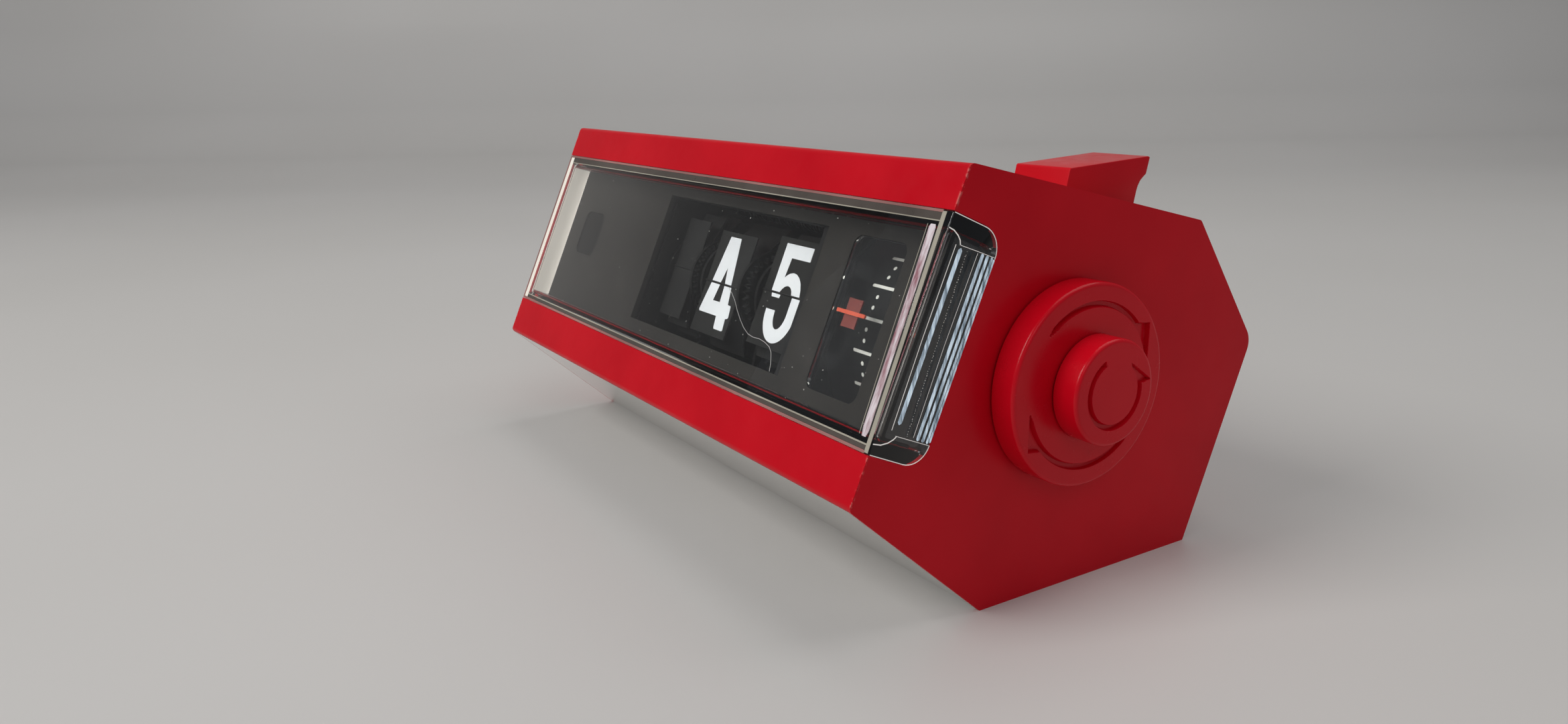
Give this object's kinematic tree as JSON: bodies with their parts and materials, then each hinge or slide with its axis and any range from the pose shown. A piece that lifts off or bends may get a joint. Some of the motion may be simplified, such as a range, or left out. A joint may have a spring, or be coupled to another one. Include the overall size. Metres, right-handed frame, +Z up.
{
  "type": "alarm clock",
  "caption": "Mains flap clock in a leaning hexagonal case with a wrap-round clear window, split-flap digits, an alarm drum, concentric end knobs and a top alarm button.",
  "frame": {"origin": "centre of the flat base, on the plane the clock stands on", "axes": "+X along the case towards the knob end, +Y to the back, +Z up; the display faces -Y and leans back"},
  "size_m": [0.1819, 0.1048, 0.084],
  "materials": {
    "case_red": "satin-gloss injection-moulded red",
    "knob_red": "satin-gloss red with engraved arrows",
    "button_red": "satin-gloss red",
    "cover_red": "fine-textured red",
    "polished_metal": "polished bright metal",
    "clear_plastic": "clear polished acrylic",
    "smoked_plastic": "smoked",
    "charcoal": "fine matt",
    "pointer_orange": "matt fluorescent orange-red",
    "flap_black": "satin black with white figures",
    "drum_black": "satin black with white hour marks",
    "white_nylon": "natural",
    "frame_steel": "zinc-plated sheet",
    "rod_steel": "turned",
    "brass_parts": "turned",
    "motor_can": "plated can",
    "black_parts": "moulded black",
    "lamp_glass": "clear bulb",
    "screw_steel": "zinc-plated",
    "black_nylon": "moulded black"
  },
  "bodies": {
    "case": {"housing": "case_red", "base_plate": "polished_metal", "lens": "clear_plastic", "fascia": "charcoal", "alarm_window": "clear_plastic", "indicator_window": "smoked_plastic", "alarm_pointer": "pointer_orange", "movement_plate_left": "frame_steel", "movement_plate_right": "frame_steel", "frame_pillars": "rod_steel", "frame_nuts": "screw_steel", "drum_shaft": "rod_steel", "idler_stud": "rod_steel", "tens_carry_bracket": "black_nylon", "hour_carry_bracket": "black_nylon", "end_bush": "black_parts", "motor": "motor_can", "motor_posts": "brass_parts", "button_guide": "black_parts", "alarm_switch": "black_parts", "buzzer": "black_parts", "lamp_holder": "white_nylon", "lamp": "lamp_glass", "rear_cover": "cover_red", "cord_bush": "black_parts", "base_screws": "screw_steel", "rear_screws": "screw_steel"},
    "time_setting": {"time_shaft": "rod_steel", "minute_wheel": "brass_parts", "time_knob": "knob_red"},
    "idler": {"idler_gear": "white_nylon"},
    "units_drum_body": {"units_drum": "black_nylon", "units_leaves": "flap_black"},
    "tens_drum_body": {"tens_drum": "black_nylon", "tens_leaves": "flap_black"},
    "hour_drum_body": {"hour_drum": "black_nylon", "hour_leaves": "flap_black"},
    "tens_carry": {"tens_carry_gear": "black_nylon"},
    "hour_carry": {"hour_carry_gear": "black_nylon"},
    "motor_output": {"motor_pinion": "brass_parts"},
    "alarm_setting": {"alarm_drum": "drum_black", "alarm_shaft": "black_parts", "alarm_knob": "knob_red"},
    "top_button": {"alarm_button": "button_red"},
    "units_flap_body": {"units_flap": "flap_black"},
    "tens_flap_body": {"tens_flap": "flap_black"},
    "hour_flap_body": {"hour_flap": "flap_black"}
  },
  "joints": [
    {"name": "time_knob_turn", "type": "hinge", "parent": "case", "child": "time_setting", "pos_m": [0.06, -0.00856, 0.04218], "axis": [1, 0, 0], "continuous": true},
    {"name": "idler_turn", "type": "hinge", "parent": "case", "child": "idler", "pos_m": [0.036, -0.01858, 0.03762], "axis": [1, 0, 0], "continuous": true},
    {"name": "units_drum_turn", "type": "hinge", "parent": "case", "child": "units_drum_body", "pos_m": [0.023, -0.02338, 0.04752], "axis": [1, 0, 0], "continuous": true},
    {"name": "tens_carry_turn", "type": "hinge", "parent": "case", "child": "tens_carry", "pos_m": [0.009, -0.02258, 0.03555], "axis": [1, 0, 0], "continuous": true},
    {"name": "tens_drum_turn", "type": "hinge", "parent": "case", "child": "tens_drum_body", "pos_m": [-0.0035, -0.02338, 0.04752], "axis": [1, 0, 0], "continuous": true},
    {"name": "hour_carry_turn", "type": "hinge", "parent": "case", "child": "hour_carry", "pos_m": [-0.015, -0.0253, 0.03568], "axis": [1, 0, 0], "continuous": true},
    {"name": "hour_drum_turn", "type": "hinge", "parent": "case", "child": "hour_drum_body", "pos_m": [-0.023, -0.02338, 0.04752], "axis": [1, 0, 0], "continuous": true},
    {"name": "motor_output_turn", "type": "hinge", "parent": "case", "child": "motor_output", "pos_m": [0.034, 0.00512, 0.03603], "axis": [1, 0, 0], "continuous": true},
    {"name": "alarm_knob_turn", "type": "hinge", "parent": "case", "child": "alarm_setting", "pos_m": [0.06, -0.00856, 0.04218], "axis": [1, 0, 0], "continuous": true},
    {"name": "alarm_button_slide", "type": "slide", "parent": "case", "child": "top_button", "axis": [0, 0.2402, 0.9707], "range_m": [-0.004, 0]},
    {"name": "units_flap_fall", "type": "hinge", "parent": "units_drum_body", "child": "units_flap_body", "pos_m": [0.0232, -0.03159, 0.05121], "axis": [1, 0, 0], "range_deg": [0, 172]},
    {"name": "tens_flap_fall", "type": "hinge", "parent": "tens_drum_body", "child": "tens_flap_body", "pos_m": [-0.0035, -0.03228, 0.04966], "axis": [1, 0, 0], "range_deg": [0, 172]},
    {"name": "hour_flap_fall", "type": "hinge", "parent": "hour_drum_body", "child": "hour_flap_body", "pos_m": [-0.0231, -0.03183, 0.05066], "axis": [1, 0, 0], "range_deg": [0, 172]}
  ],
  "couplings": [
    {"joint": "idler_turn", "follows": "time_knob_turn", "ratio": -0.83333},
    {"joint": "units_drum_turn", "follows": "time_knob_turn", "ratio": 1},
    {"joint": "tens_carry_turn", "follows": "time_knob_turn", "ratio": -0.5},
    {"joint": "tens_drum_turn", "follows": "time_knob_turn", "ratio": 0.16667},
    {"joint": "hour_carry_turn", "follows": "time_knob_turn", "ratio": -0.055556},
    {"joint": "hour_drum_turn", "follows": "time_knob_turn", "ratio": 0.013889},
    {"joint": "motor_output_turn", "follows": "time_knob_turn", "ratio": -4}
  ]
}
